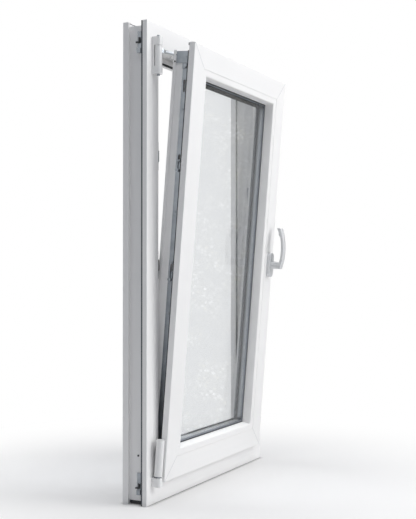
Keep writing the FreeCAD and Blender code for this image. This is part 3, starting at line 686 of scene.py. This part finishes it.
@dataclass
class Outline:
    """The frame's part of the looks."""

    uprights: tuple[str, ...] = ("frame_left_jamb", "frame_right_jamb")
    levels: tuple[str, ...] = ("frame_head", "frame_sill")
    back_face: float = 75.0 * MM
    slot_shade_start: float = 12.5 * MM
    slot_shade_width: float = 4.0 * MM
    slot_shade_height: float = 1.5 * MM
    slot_shade_skin: float = 0.1 * MM
    flange_start: float = 56.0 * MM
    groove_shade_height: float = 2.8 * MM
    reveal: float = 58.0 * MM
    plate_span: Span = (-188.0 * MM, -122.0 * MM)
    plate_depth: Span = (17.0 * MM, 36.0 * MM)
    plate_height: float = 1.3 * MM
    plate_edge: float = 0.3 * MM
    plate_screws: Span = (-178.0 * MM, -158.0 * MM)
    screw_radii: Span = (3.0 * MM, 2.6 * MM)
    screw_sunk: float = 0.5 * MM
    stop_length: float = 16.0 * MM
    stop_gap: float = 1.0 * MM
    stop_share: float = 1.6
    stop_edge: float = 0.4 * MM
    groove: float = 10.0 * MM
    clip_levels: tuple[Span, ...] = ((40.0 * MM, 52.0 * MM), (1146.0 * MM, 1160.0 * MM))
    clip_out: Span = (6.5 * MM, 2.6 * MM)
    clip_depth: Span = (2.0 * MM, 6.0 * MM)
    clip_edge: float = 0.8 * MM
    hook_end: float = 14.0 * MM
    hook_height: float = 4.0 * MM
    groove_end_shade: Span = (2.0 * MM, 12.0 * MM)
    groove_end_shade_margin: float = 1.0 * MM
    groove_end_shade_gap: float = 0.5 * MM
    hole_shade_level: float = 121.0 * MM
    hole_shade_depth: float = 8.0 * MM
    hole_shade_sunk: float = 1.5 * MM
    hole_shade_length: float = 2.0 * MM
    hole_shade_radius: float = 2.4 * MM

    def build(self, finishes: Finishes) -> None:
        """Dresses the frame and adds its seams, dark strips of painted slot shade, clips with dark
        pieces of painted shade, and the plate that guides the stay.

        Args:
            finishes: the window's finishes.
        """
        dress(finishes.upright, self.uprights)
        dress(finishes.level, self.levels)
        dress(finishes.seal, ("frame_gasket",))
        dress(finishes.moulded, ("corner_pivot_rest", "stay_bearing", "drain_caps"))
        dress(finishes.steel, ("stay_pin", "keep_plates", "anchor_plates", "corner_hinge_pin"))
        dress(finishes.dark, ("middle_keep",))
        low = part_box("frame_left_jamb")[0]
        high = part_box("frame_right_jamb")[1]
        WeldSeams().ring("frame_weld_seams", low, high, ((high.y, 1.0, self.back_face), ),
                         Matrix.Identity(4), Body.FRAME, finishes)
        self.slot_shade(low, high, finishes)
        self.clips(low, finishes)
        self.stay_plate(low, high, finishes)

    def stay_plate(self, low: Vector, high: Vector, finishes: Finishes) -> None:
        """Adds the thin plate under the head that guides the stay, with its stop and screws.

        Args:
            low: lowest corner of the frame.
            high: highest corner.
            finishes: the window's finishes.
        """
        top = high.z - self.reveal
        start, end = self.plate_span
        front, back = (low.y + depth for depth in self.plate_depth)
        stop = end - self.stop_length
        shape = bmesh.new()
        add_box(shape, Vector((start, front, top - self.plate_height)), Vector((stop, back, top)),
                self.plate_edge)
        make_piece("stay_guide_plate", shape, finishes.moulded, Body.FRAME)
        shape = bmesh.new()
        add_box(shape, Vector((stop + self.stop_gap, front, top - self.stop_share * self.plate_height)),
                Vector((end, back, top)), self.stop_edge)
        make_piece("stay_guide_stop", shape, finishes.moulded, Body.FRAME)
        shape = bmesh.new()
        for x in self.plate_screws:
            spot = Vector((x, (front + back) / 2, top - self.screw_sunk))
            add_rod(shape, spot, spot - Vector((0, 0, self.plate_height)), *self.screw_radii)
        make_piece("stay_guide_screws", shape, finishes.dark, Body.FRAME)

    def slot_shade(self, low: Vector, high: Vector, finishes: Finishes) -> None:
        """Lays dark strips that paint the shade in the slot behind the room flange, round the frame's
        outer edge, and along its grooves.

        Args:
            low: lowest corner of the frame.
            high: highest corner.
            finishes: the window's finishes.
        """
        # Painted shade: the ring sits in the slot behind the room flange, and the two strips run along
        # the grooves of the sill and head.
        shape = bmesh.new()
        skin = self.slot_shade_skin
        front = low.y + self.slot_shade_start
        back = front + self.slot_shade_width
        add_ring(shape, Vector((low.x, front + skin, low.z)), Vector((high.x, back - skin, high.z)),
                 skin, self.slot_shade_height - 2 * skin)
        edge = low.y + self.flange_start
        for bottom in (low.z + skin, high.z - self.groove_shade_height - skin):
            add_box(shape, Vector((low.x + self.groove, edge - self.slot_shade_height, bottom)),
                    Vector((high.x - self.groove, edge - skin, bottom + self.groove_shade_height)))
        make_piece("painted_slot_shade", shape, finishes.slot_shade, Body.FRAME)

    def clips(self, low: Vector, finishes: Finishes) -> None:
        """Adds the black clips of the anchor plates, with a dark block that paints the shade in the
        wall groove's bottom end and a dark disc that paints the shade of a hole on the groove floor.

        Args:
            low: lowest corner of the frame.
            finishes: the window's finishes.
        """
        shape = bmesh.new()
        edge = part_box("anchor_plates")[0].y
        floor = low.x + self.groove
        outer, inner = (floor - out for out in self.clip_out)
        front, back = (edge + depth for depth in self.clip_depth)
        for bottom, top in self.clip_levels:
            add_box(shape, Vector((outer, front, bottom)), Vector((inner, back, top)), self.clip_edge)
            add_box(shape, Vector((outer, back, bottom)),
                    Vector((inner, edge + self.hook_end, bottom + self.hook_height)), self.clip_edge)
        # Painted shade: a dark block fills the bottom end of the groove, which lies in deep shade.
        start, end = (floor + out for out in self.groove_end_shade)
        flange = low.y + self.flange_start
        add_box(shape, Vector((start, edge + self.groove_end_shade_margin, self.groove_end_shade_margin)),
                Vector((end, flange - self.groove_end_shade_margin, self.groove - self.groove_end_shade_gap)))
        # Painted shade: a dark disc stands for the shade inside a hole.
        spot = Vector((floor - self.hole_shade_sunk, edge + self.hole_shade_depth, self.hole_shade_level))
        add_rod(shape, spot, spot + Vector((self.hole_shade_length, 0, 0)), self.hole_shade_radius)
        make_piece("anchor_clips_and_painted_shade", shape, finishes.dark, Body.FRAME)


@dataclass
class Handle:
    """Rosette, neck and bowed lever, drawn up their own Y and out along their own Z."""

    rosette: tuple[float, float, float] = (30.0 * MM, 72.0 * MM, 11.0 * MM)
    rosette_corner: float = 13.0 * MM
    rosette_edge: float = 3.0 * MM
    neck_radius: float = 12.0 * MM
    neck_end: float = 9.8 * MM
    width: float = 20.0 * MM
    thickness: float = 9.0 * MM
    length: float = 122.0 * MM
    foot: float = 10.0 * MM
    standoff: float = 32.0 * MM
    bow: float = 7.5 * MM
    curl: float = 6.0 * MM
    swell: float = 0.5
    tip: Span = (0.84, 0.94)
    edge: float = 2.6 * MM
    sharp: float = 0.7
    seat_gap: float = 0.2 * MM
    neck_along: float = 0.1
    neck_sunk: float = 2.0 * MM
    neck_sides: int = 32
    corner_steps: int = 8
    edge_steps: int = 4
    smooth_deg: float = 50.0
    cuts: int = 18

    def build(self, finishes: Finishes) -> None:
        """Makes the handle's two pieces in place of the plain ones.

        Args:
            finishes: the window's finishes.
        """
        joint = next(j for j in frame["joints"] if j["name"] == "handle_turn")
        place = basis(Vector(joint["pos_m"]), Vector((1, 0, 0)), Vector(joint["axis"]))
        for name, shape, body in (("handle_rosette", self.plate(), Body.SASH),
                                  ("handle_lever", self.lever(), Body.HANDLE)):
            dress(finishes.coat, (name,))
            bmesh.ops.transform(shape, matrix=place, verts=shape.verts[:])
            piece = make_piece("smooth_" + name, shape, finishes.coat, body,
                               self.smooth_deg)
            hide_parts(name)

    def plate(self) -> Mesh:
        """The rosette: a rounded plate with a soft rim.

        Returns:
            Its mesh.
        """
        shape = bmesh.new()
        width, height, depth = self.rosette
        add_box(shape, Vector((-width / 2, -height / 2, 0)), Vector((width / 2, height / 2, depth)))
        upright = [e for e in shape.edges if abs(e.verts[0].co.z - e.verts[1].co.z) > depth / 2]
        round_off(shape, upright, self.rosette_corner, self.corner_steps)
        rim = [e for e in shape.edges if all(v.co.z > depth / 2 for v in e.verts)]
        round_off(shape, rim, self.rosette_edge, self.edge_steps)
        return shape

    def rise(self, along: float) -> float:
        """How far the lever stands out, from its foot at 0 to its tip at 1."""
        return self.standoff + self.bow * 4 * along * (1 - along) - self.curl * along * (2 * along - 1)

    def lever(self) -> Mesh:
        """The lever: a flat bar bowed away from the sash, with a thicker tip and its neck.

        Returns:
            Its mesh.
        """
        shape = bmesh.new()
        add_box(shape, Vector((-self.width / 2, -self.foot, 0)),
                Vector((self.width / 2, self.length - self.foot, self.thickness)))
        for i in range(1, self.cuts):
            level = -self.foot + i * self.length / self.cuts
            bmesh.ops.bisect_plane(shape, geom=shape.verts[:] + shape.edges[:] + shape.faces[:],
                                   plane_co=(0, level, 0), plane_no=(0, 1, 0))
        start, full = self.tip
        for vert in shape.verts:
            along = (vert.co.y + self.foot) / self.length
            near_tip = min(1.0, max(0.0, (along - start) / (full - start)))
            inner = (self.thickness - vert.co.z) * (1 + self.swell * near_tip)
            vert.co.z = self.thickness - inner + self.rise(along)
        sharp = [e for e in shape.edges if e.calc_face_angle(0.0) > self.sharp]
        round_off(shape, sharp, self.edge, self.edge_steps)
        seat = self.rosette[2] + self.seat_gap
        end = self.rise(self.neck_along) + self.neck_sunk
        add_rod(shape, Vector((0, 0, seat)), Vector((0, 0, end)), self.neck_radius, self.neck_end,
                self.neck_sides)
        return shape


@dataclass(frozen=True)
class Stud:
    """Round stud on the corner drive, placed from the strip's middle or from the plate's back edge."""

    across: float
    drop: float
    radius: float
    reach: float
    taper: float = 1.0
    at_back: bool = False


@dataclass
class CornerDrive:
    """Pressed corner drive at the top of the sash's hinge side, with its knob, rivets and bushes."""

    place: SashPlace
    skin: float = 0.1 * MM
    plate_front: float = 6.0 * MM
    plate_back: float = 2.0 * MM
    plate_drop: float = 30.0 * MM
    plate_out: float = 2.2 * MM
    plate_edge: float = 0.6 * MM
    block_drop: Span = (44.0 * MM, 31.0 * MM)
    block_out: float = 3.6 * MM
    block_edge: float = 0.8 * MM
    root: float = 1.0 * MM
    rivets: tuple[Stud, ...] = (Stud(-2.0 * MM, 37.0 * MM, 4.6 * MM, 6.0 * MM, 0.86),
                                Stud(-8.0 * MM, 9.0 * MM, 2.6 * MM, 3.2 * MM, 0.86, at_back=True),
                                Stud(0.0, 14.0 * MM, 3.4 * MM, 3.4 * MM, 0.86))
    bushes: tuple[Stud, ...] = (Stud(-4.0 * MM, 38.0 * MM, 5.4 * MM, 4.2 * MM),
                                Stud(-9.0 * MM, 12.0 * MM, 2.0 * MM, 4.2 * MM),
                                Stud(-4.0 * MM, 26.0 * MM, 2.0 * MM, 4.2 * MM, at_back=True))

    def build(self, finishes: Finishes) -> None:
        """Makes the steel drive and its dark bushes.

        Args:
            finishes: the window's finishes.
        """
        low, high = self.place.shut_box("fitting_strip_left")
        end = self.place.shut_box("sash_left_stile")[1].y - self.plate_back
        top = self.place.shut_box("fitting_strip_top")[1].z
        face, middle, tilted = low.x, (low.y + high.y) / 2, self.place.tilted
        drive = bmesh.new()
        add_box(drive, Vector((face - self.plate_out, low.y - self.plate_front, top - self.plate_drop)),
                Vector((face - self.skin, end, top)), self.plate_edge, tilted)
        bottom, upper = (top - drop for drop in self.block_drop)
        add_box(drive, Vector((face - self.block_out, low.y, bottom)),
                Vector((face - self.skin, high.y, upper)), self.block_edge, tilted)
        bushes = bmesh.new()
        for shape, studs in ((drive, self.rivets), (bushes, self.bushes)):
            for stud in studs:
                y = (end if stud.at_back else middle) + stud.across
                z = top - stud.drop
                add_rod(shape, tilted @ Vector((face - self.root, y, z)),
                        tilted @ Vector((face - stud.reach, y, z)), stud.radius,
                        stud.radius * stud.taper)
        make_piece("corner_drive", drive, finishes.steel, Body.SASH)
        make_piece("drive_bushes", bushes, finishes.dark, Body.SASH)


@dataclass
class Sash:
    """The sash's part of the looks."""

    place: SashPlace
    face: float = 56.0 * MM
    screw_pitch: float = 118.0 * MM
    screw_end: float = 14.0 * MM
    seal_width: float = 11.0 * MM
    inner_lip: float = 2.2 * MM
    outer_lip: float = 7.0 * MM
    lip_skin: float = 0.1 * MM
    lip_lap: float = 0.2 * MM
    liner_start: float = 12.1 * MM
    liner_rise: float = 2.2 * MM
    liner_inset: float = 0.5 * MM
    liner_edge: float = 0.4 * MM

    def build(self, finishes: Finishes) -> None:
        """Dresses the sash and adds its handle, seams, seal lips, screws and corner drive.

        Args:
            finishes: the window's finishes.
        """
        dress(finishes.upright, ("sash_left_stile", "sash_right_stile",
                                 "glazing_bead_left", "glazing_bead_right"))
        dress(finishes.level, ("sash_top_rail", "sash_bottom_rail",
                               "glazing_bead_top", "glazing_bead_bottom"))
        dress(finishes.glass, ("glass_inner_pane", "glass_outer_pane"))
        dress(finishes.spacer, ("glass_spacer",))
        dress(finishes.seal, ("glass_inner_gasket", "glass_outer_gasket", "sash_gasket"))
        dress(finishes.moulded, ("corner_hinge_cover", "stay_cover"))
        Handle().build(finishes)
        dress(finishes.steel, ("fitting_strip_left", "fitting_strip_right", "fitting_strip_top",
                               "fitting_strip_bottom", "corner_hinge_band", "stay_arm", "stay_rivet",
                               "locking_cams_left", "locking_cams_top", "locking_cams_right"))
        low = self.place.shut_box("sash_left_stile")[0]
        high = self.place.shut_box("sash_right_stile")[1]
        WeldSeams().ring("sash_weld_seams", low, high, ((low.y, -1.0, self.face), ),
                         self.place.tilted, Body.SASH, finishes)
        self.glass_lips(finishes)
        self.screws(finishes)
        CornerDrive(self.place).build(finishes)

    def glass_lips(self, finishes: Finishes) -> None:
        """Adds the soft lips of the glazing seals, and the bright liner on the spacer's bottom bar.

        Args:
            finishes: the window's finishes.
        """
        reach = self.seal_width - self.lip_lap
        skin = Vector((0, self.lip_skin, 0))
        lips = (("inner_seal_lip", "glass_inner_gasket", self.inner_lip, finishes.grey_and_lit_lip),
                ("outer_seal_lip", "glass_outer_gasket", self.outer_lip, finishes.seal))
        for name, node, width, finish in lips:
            low, high = self.place.shut_box(node)
            shape = bmesh.new()
            add_ring(shape, low + skin, high - skin, reach, width, self.place.tilted)
            make_piece(name, shape, finish, Body.SASH)
        seal = self.place.shut_box("glass_inner_gasket")[0]
        low, high = self.place.shut_box("glass_spacer")
        shape = bmesh.new()
        top = seal.z + reach + self.inner_lip + self.liner_rise
        side = seal.x - low.x + reach
        add_box(shape, Vector((low.x + side, low.y + self.liner_inset, low.z + self.liner_start)),
                Vector((high.x - side, high.y - self.liner_inset, top)), self.liner_edge,
                self.place.tilted)
        make_piece("spacer_liner", shape, finishes.spacer, Body.SASH)

    def screws(self, finishes: Finishes) -> None:
        """Adds the screws along the fitting strips.

        Args:
            finishes: the window's finishes.
        """
        shape = bmesh.new()
        screw = CrossScrew()
        for side, out in (("left", Vector((-1, 0, 0))), ("right", Vector((1, 0, 0))),
                          ("top", Vector((0, 0, 1))), ("bottom", Vector((0, 0, -1)))):
            low, high = self.place.shut_box("fitting_strip_" + side)
            middle = (low + high) / 2
            long = 2 if side in ("left", "right") else 0
            face = Vector([middle[i] if out[i] == 0 else (high[i] if out[i] > 0 else low[i])
                           for i in range(3)])
            along = Vector((0, 0, 1)) if long == 2 else Vector((1, 0, 0))
            length = high[long] - low[long]
            count = int(length / self.screw_pitch)
            for i in range(count + 1):
                spot = face.copy()
                spot[long] = low[long] + self.screw_end + i * (length - 2 * self.screw_end) / count
                screw.add(shape, self.place.tilted @ basis(spot, along, out))
        make_piece("strip_screws", shape, finishes.steel, Body.SASH)


def stage_piece(name: str, shape: Mesh, material: Material) -> bpy.types.Object:
    """Turns a bmesh into a piece of the stage.

    Args:
        name: name of the piece.
        shape: its mesh, which is freed here.
        material: its finish.
    Returns:
        The new object.
    """
    mesh = bpy.data.meshes.new(name)
    shape.to_mesh(mesh)
    shape.free()
    mesh.materials.append(material)
    piece = bpy.data.objects.new(name, mesh)
    bpy.context.scene.collection.objects.link(piece)
    return piece


@dataclass(frozen=True)
class SoftBox:
    """A square soft lamp."""

    name: str
    place: Triple
    target: Triple
    size: float
    watts: float
    mirrored: bool = True

    def hang(self) -> None:
        """Puts the lamp in the scene, where panes and gloss show it only if it is mirrored."""
        data = bpy.data.lights.new(self.name, "AREA")
        data.shape = "SQUARE"
        data.size = self.size
        data.energy = self.watts
        lamp = bpy.data.objects.new(self.name, data)
        lamp.visible_glossy = self.mirrored
        lamp.visible_transmission = self.mirrored
        aim = Vector(self.target) - Vector(self.place)
        turn = aim.to_track_quat("-Z", "Y").to_matrix().to_4x4()
        lamp.matrix_world = Matrix.Translation(self.place) @ turn
        bpy.context.scene.collection.objects.link(lamp)


@dataclass
class MirroredGarden:
    """A leaning card that glows with a dim garden on it, seen only in reflections: a painted reflection
    for the panes to mirror.
    """

    dark: str = "#262B2A"
    green: str = "#57563F"
    light: str = "#FFFFFF"
    autumn: str = "#CFC8A6"
    autumn_edge: Span = (0.3, 0.45)
    leaf_mm: float = 14.0
    leaf_edge: Span = (0.06, 0.56)
    cluster_mm: float = 70.0
    cluster_edge: Span = (0.4, 0.66)
    seed: float = 1.7
    strength: float = 1.3
    foot: Triple = (0.42, -0.21, 0.0)
    size: Span = (0.9, 1.7)
    turn: float = 63.0
    lean: float = 24.0

    def material(self) -> Material:
        """Clusters of bright gaps and turned leaves on dim green.

        Returns:
            The material.
        """
        made = new_material("mirrored_garden")
        tree = made.node_tree
        place = add_node(tree, "ShaderNodeTexCoord").outputs["Object"]
        leaves = add_node(tree, "ShaderNodeTexVoronoi", {"Scale": per_metre(self.leaf_mm)},
                          {"Vector": place}, feature="F1")
        low, high = self.leaf_edge
        gaps = add_node(tree, "ShaderNodeMapRange",
                        {"From Min": low, "From Max": high, "To Min": 1.0, "To Max": 0.0},
                        {"Value": leaves.outputs["Distance"]}, interpolation_type="SMOOTHSTEP")
        patch = add_node(tree, "ShaderNodeTexNoise",
                         {"Scale": per_metre(self.cluster_mm), "Detail": 4.0, "W": self.seed},
                         {"Vector": place}, noise_dimensions="4D")
        low, high = self.cluster_edge
        cluster = add_node(tree, "ShaderNodeMapRange", {"From Min": low, "From Max": high},
                           {"Value": patch.outputs["Fac"]})
        low, high = self.autumn_edge
        turned = add_node(tree, "ShaderNodeMapRange", {"From Min": low, "From Max": high},
                          {"Value": leaves.outputs["Color"]})
        leaf = add_node(tree, "ShaderNodeMix", {6: linear(self.autumn), 7: linear(self.light)},
                        {0: turned.outputs["Result"]}, data_type="RGBA")
        bright = add_node(tree, "ShaderNodeMath", operation="MULTIPLY",
                          links={0: gaps.outputs["Result"], 1: cluster.outputs["Result"]})
        tone = add_node(tree, "ShaderNodeMix", {6: linear(self.dark), 7: linear(self.green)},
                        {0: cluster.outputs["Result"]}, data_type="RGBA")
        colour = add_node(tree, "ShaderNodeMix", data_type="RGBA", links={
            0: bright.outputs[0], 6: tone.outputs[2], 7: leaf.outputs[2]})
        glow = add_node(tree, "ShaderNodeEmission", {"Strength": self.strength},
                        {"Color": colour.outputs[2]})
        add_node(tree, "ShaderNodeOutputMaterial", links={"Surface": glow.outputs[0]})
        return made

    def build(self) -> None:
        """Stands the card beside the window, where only gloss sees it."""
        shape = bmesh.new()
        bmesh.ops.create_grid(shape, x_segments=1, y_segments=1, size=0.5)
        bmesh.ops.translate(shape, vec=(0.0, 0.5, 0.0), verts=shape.verts[:])
        stand = Matrix.Rotation(math.radians(90.0 + self.lean), 4, "X")
        turn = Matrix.Rotation(math.radians(self.turn), 4, "Z")
        size = Matrix.Diagonal((*self.size, 1.0, 1.0))
        bmesh.ops.transform(shape, matrix=Matrix.Translation(self.foot) @ turn @ stand @ size,
                            verts=shape.verts[:])
        card = stage_piece("mirrored_card", shape, self.material())
        for ray in ("camera", "diffuse", "transmission", "volume_scatter", "shadow"):
            setattr(card, "visible_" + ray, False)


@dataclass
class Studio:
    """Plain white floor and backdrop, soft lamps and the camera."""

    floor_radius: float = 9.0
    floor_sides: int = 96
    floor_fade: Span = (0.1, 1.15)
    floor_colour: str = "#EBEAE9"
    floor_contact_shade_reach: float = 14.0 * MM
    ambient: str = "#E4ECFA"
    ambient_strength: float = 0.24
    camera_place: Triple = (-2.2881, -1.1859, 0.5764)
    camera_yaw: float = 62.644
    camera_pitch: float = 0.766
    picture_width: float = 416.0
    focal_pixels: float = 923.2
    sensor: float = 36.0
    lamps: tuple[SoftBox, ...] = (
        SoftBox("key_softbox", (0.9, -3.2, 2.5), (0.0, 0.0, 0.5), 2.0, 66.0),
        SoftBox("top_softbox", (-0.1, -0.5, 3.4), (-0.1, -0.2, 0.0), 2.8, 57.0),
        SoftBox("front_softbox", (0.7, -3.0, 0.5), (0.0, 0.0, 0.3), 1.6, 16.0, mirrored=False),
        SoftBox("back_softbox", (-0.2, 3.2, 2.6), (-0.2, 0.4, 0.2), 2.4, 44.0))

    def shown(self, tree: Tree) -> Socket:
        """A factor that is 1 for what the camera, gloss and glass see.

        Args:
            tree: node tree that takes the nodes.
        Returns:
            The factor's socket.
        """
        path = add_node(tree, "ShaderNodeLightPath").outputs
        gloss = add_node(tree, "ShaderNodeMath", operation="MAXIMUM",
                         links={0: path["Is Glossy Ray"], 1: path["Is Transmission Ray"]})
        return add_node(tree, "ShaderNodeMath", operation="MAXIMUM",
                        links={0: path["Is Camera Ray"], 1: gloss.outputs[0]}).outputs[0]

    def world(self) -> None:
        """Soft light from all round, and a white background."""
        world = bpy.data.worlds.new("studio")
        world.use_nodes = True
        tree = world.node_tree
        tree.nodes.clear()
        soft = add_node(tree, "ShaderNodeBackground",
                        {"Color": linear(self.ambient), "Strength": self.ambient_strength})
        white = add_node(tree, "ShaderNodeBackground", {"Color": (1, 1, 1, 1), "Strength": 1.0})
        mix = add_node(tree, "ShaderNodeMixShader", links={
            0: self.shown(tree), 1: soft.outputs[0], 2: white.outputs[0]})
        add_node(tree, "ShaderNodeOutputWorld", links={"Surface": mix.outputs[0]})
        bpy.context.scene.world = world

    def floor_material(self) -> Material:
        """Pale floor that takes the window's shadow, with painted contact shade that darkens its colour
        near the window, and fades to white further off.

        Returns:
            The material.
        """
        made = new_material("pale_floor")
        tree = made.node_tree
        place = add_node(tree, "ShaderNodeTexCoord").outputs["Object"]
        away = add_node(tree, "ShaderNodeVectorMath", operation="LENGTH", links={0: place})
        near, far = self.floor_fade
        fade = add_node(tree, "ShaderNodeMapRange", {"From Min": near, "From Max": far},
                        {"Value": away.outputs["Value"]}, interpolation_type="SMOOTHERSTEP")
        shown = add_node(tree, "ShaderNodeMath", operation="MULTIPLY",
                         links={0: fade.outputs["Result"], 1: self.shown(tree)})
        # Painted contact shade: ambient occlusion darkens the floor's colour within a short reach of
        # the window.
        painted_contact_shade = add_node(tree, "ShaderNodeAmbientOcclusion",
                         {"Color": linear(self.floor_colour), "Distance": self.floor_contact_shade_reach})
        pale = add_node(tree, "ShaderNodeBsdfDiffuse", links={"Color": painted_contact_shade.outputs["Color"]})
        white = add_node(tree, "ShaderNodeEmission", {"Color": (1, 1, 1, 1), "Strength": 1.0})
        mix = add_node(tree, "ShaderNodeMixShader", links={
            0: shown.outputs[0], 1: pale.outputs[0], 2: white.outputs[0]})
        add_node(tree, "ShaderNodeOutputMaterial", links={"Surface": mix.outputs[0]})
        return made

    def floor(self) -> None:
        """A round floor under the window."""
        shape = bmesh.new()
        bmesh.ops.create_circle(shape, cap_ends=True, segments=self.floor_sides,
                                radius=self.floor_radius)
        floor = stage_piece("floor", shape, self.floor_material())

    def camera(self) -> None:
        """Camera at the photograph's angle."""
        data = bpy.data.cameras.new("camera")
        data.sensor_fit = "HORIZONTAL"
        data.sensor_width = self.sensor
        data.lens = self.focal_pixels * self.sensor / self.picture_width
        camera = bpy.data.objects.new("camera", data)
        camera.location = self.camera_place
        pitch, yaw = math.radians(90 + self.camera_pitch), math.radians(-self.camera_yaw)
        camera.rotation_euler = (pitch, 0, yaw)
        bpy.context.scene.collection.objects.link(camera)
        bpy.context.scene.camera = camera

    def build(self) -> None:
        """Sets up everything round the window."""
        self.world()
        self.floor()
        MirroredGarden().build()
        for lamp in self.lamps:
            lamp.hang()
        self.camera()
        bpy.context.scene.view_settings.view_transform = "Standard"


def main() -> None:
    """Builds the window's looks in order."""
    logging.basicConfig(level=logging.INFO, format="%(message)s")
    finishes = Finishes()
    Outline().build(finishes)
    Sash(SashPlace()).build(finishes)
    Studio().build()


if __name__ == "__main__":
    main()
